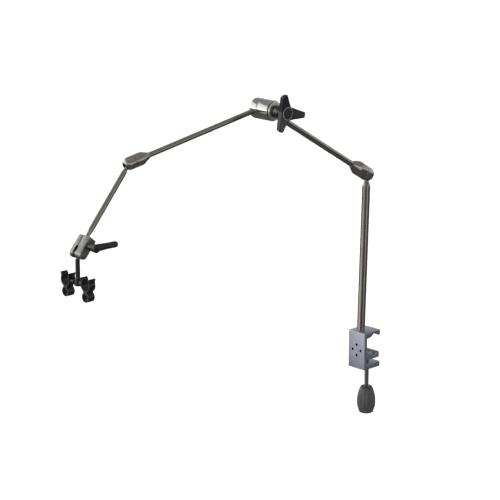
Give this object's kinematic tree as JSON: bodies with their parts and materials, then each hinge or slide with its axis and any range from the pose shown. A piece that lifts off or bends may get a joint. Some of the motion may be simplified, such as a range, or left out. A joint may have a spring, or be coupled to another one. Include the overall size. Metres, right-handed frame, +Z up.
{
  "type": "articulated clamp-on holding arm",
  "caption": "Articulated holding arm on a rail clamp: ball elbows, a lockable centre hub, a lever-clamped tip ball and hose clips that hold a tube or cable in place.",
  "frame": {"origin": "centre of the clamp's rail seat, on the inner face of its back plate", "axes": "+Y out of the rail seat into the jaw opening, +Z up along the post, X across the clamp"},
  "size_m": [0.1065, 0.6571, 0.611],
  "materials": {
    "anodised_aluminium": "satin anodised extrusion",
    "satin_stainless": "satin polished stainless tube",
    "polished_stainless": "mirror polished stainless",
    "machined_steel": "turned steel",
    "brake_brass": "turned brass",
    "friction_fibre": "pressed friction fibre",
    "block_steel": "ground steel",
    "moulded_grip": "soft matt moulding",
    "moulded_nylon": "black moulded nylon"
  },
  "bodies": {
    "base": {"clamp_body": "anodised_aluminium", "post": "satin_stainless", "post_grub_screw": "machined_steel"},
    "jaw": {"clamp_jaw": "anodised_aluminium"},
    "screw": {"clamp_screw": "machined_steel", "clamp_grip": "moulded_grip", "grip_insert": "brake_brass", "jaw_retaining_ring": "machined_steel"},
    "lower_stud": {"lower_ball": "satin_stainless"},
    "lower_arm": {"lower_socket_cap": "satin_stainless", "lower_socket": "satin_stainless", "lower_brake_cup": "brake_brass", "lower_tube": "satin_stainless", "lower_push_rod": "machined_steel", "hub_near": "polished_stainless", "lower_wedge": "machined_steel", "hub_ring": "polished_stainless", "hub_friction_disc": "friction_fibre", "knob_sleeve": "satin_stainless", "knob_washer": "machined_steel"},
    "upper_arm": {"hub_far": "polished_stainless", "hub_bolt": "machined_steel", "hub_end_cap": "polished_stainless", "upper_wedge": "machined_steel", "upper_tube": "satin_stainless", "upper_push_rod": "machined_steel", "upper_socket": "satin_stainless", "upper_socket_cap": "satin_stainless", "upper_brake_cup": "brake_brass"},
    "knob": {"star_knob": "moulded_nylon", "knob_cap": "moulded_nylon", "knob_insert": "brake_brass"},
    "tip_stud": {"tip_ball": "satin_stainless"},
    "tip": {"tip_rod": "satin_stainless", "block_left": "block_steel", "block_right": "block_steel", "block_bolt": "machined_steel", "lever_washer": "machined_steel"},
    "lever_core": {"lever_insert": "machined_steel"},
    "lever": {"lever_handle": "moulded_nylon"},
    "stem_stud": {"stem_ball": "moulded_nylon"},
    "stem": {"stem": "moulded_nylon", "clip_bar": "machined_steel"},
    "left_clip": {"left_clip": "moulded_nylon", "left_clip_screw": "machined_steel"},
    "right_clip": {"right_clip": "moulded_nylon", "right_clip_screw": "machined_steel"}
  },
  "joints": [
    {"name": "jaw_slide", "type": "slide", "parent": "base", "child": "jaw", "axis": [0, 0, 1], "range_m": [-0.007, 0.008]},
    {"name": "screw_turn", "type": "hinge", "parent": "jaw", "child": "screw", "pos_m": [0, 0.02, -0.022], "axis": [0, 0, 1], "range_deg": [-2020, 2310]},
    {"name": "lower_swivel", "type": "hinge", "parent": "base", "child": "lower_stud", "pos_m": [0, 0.0123, 0.30816], "axis": [0, 0.0314, 0.9995], "continuous": true},
    {"name": "lower_tilt", "type": "hinge", "parent": "lower_stud", "child": "lower_arm", "pos_m": [0, 0.0123, 0.30816], "axis": [1, 0, 0], "range_deg": [-58, 28]},
    {"name": "centre_hinge", "type": "hinge", "parent": "lower_arm", "child": "upper_arm", "pos_m": [0, -0.22617, 0.45202], "axis": [1, 0, 0], "range_deg": [-100, 45]},
    {"name": "knob_turn", "type": "hinge", "parent": "upper_arm", "child": "knob", "pos_m": [0, -0.22617, 0.45202], "axis": [1, 0, 0], "range_deg": [-360, 30]},
    {"name": "tip_tilt", "type": "hinge", "parent": "upper_arm", "child": "tip_stud", "pos_m": [-0.0193, -0.50696, 0.40326], "axis": [1, 0, 0], "range_deg": [-38, 48]},
    {"name": "tip_swivel", "type": "hinge", "parent": "tip_stud", "child": "tip", "pos_m": [-0.0193, -0.50696, 0.40326], "axis": [0, -0.6526, -0.7577], "continuous": true},
    {"name": "lever_turn", "type": "hinge", "parent": "tip", "child": "lever_core", "pos_m": [-0.0193, -0.60323, 0.2915], "axis": [1, 0, 0], "range_deg": [-30, 60]},
    {"name": "lever_lift", "type": "slide", "parent": "lever_core", "child": "lever", "axis": [1, 0, 0], "range_m": [0, 0.0035], "stiffness_N_per_m": 250, "springref_m": -0.001},
    {"name": "stem_tilt", "type": "hinge", "parent": "tip", "child": "stem_stud", "pos_m": [-0.0193, -0.61321, 0.27991], "axis": [1, 0, 0], "range_deg": [-110, 30]},
    {"name": "stem_swivel", "type": "hinge", "parent": "stem_stud", "child": "stem", "pos_m": [-0.0193, -0.61321, 0.27991], "axis": [0, 0, 1], "continuous": true},
    {"name": "left_clip_turn", "type": "hinge", "parent": "stem", "child": "left_clip", "pos_m": [-0.0193, -0.61321, 0.23391], "axis": [1, 0, 0], "range_deg": [-90, 90]},
    {"name": "right_clip_turn", "type": "hinge", "parent": "stem", "child": "right_clip", "pos_m": [-0.0193, -0.61321, 0.23391], "axis": [1, 0, 0], "range_deg": [-90, 90]}
  ],
  "couplings": [
    {"joint": "screw_turn", "follows": "jaw_slide", "rad_per_m": 5026.5}
  ]
}
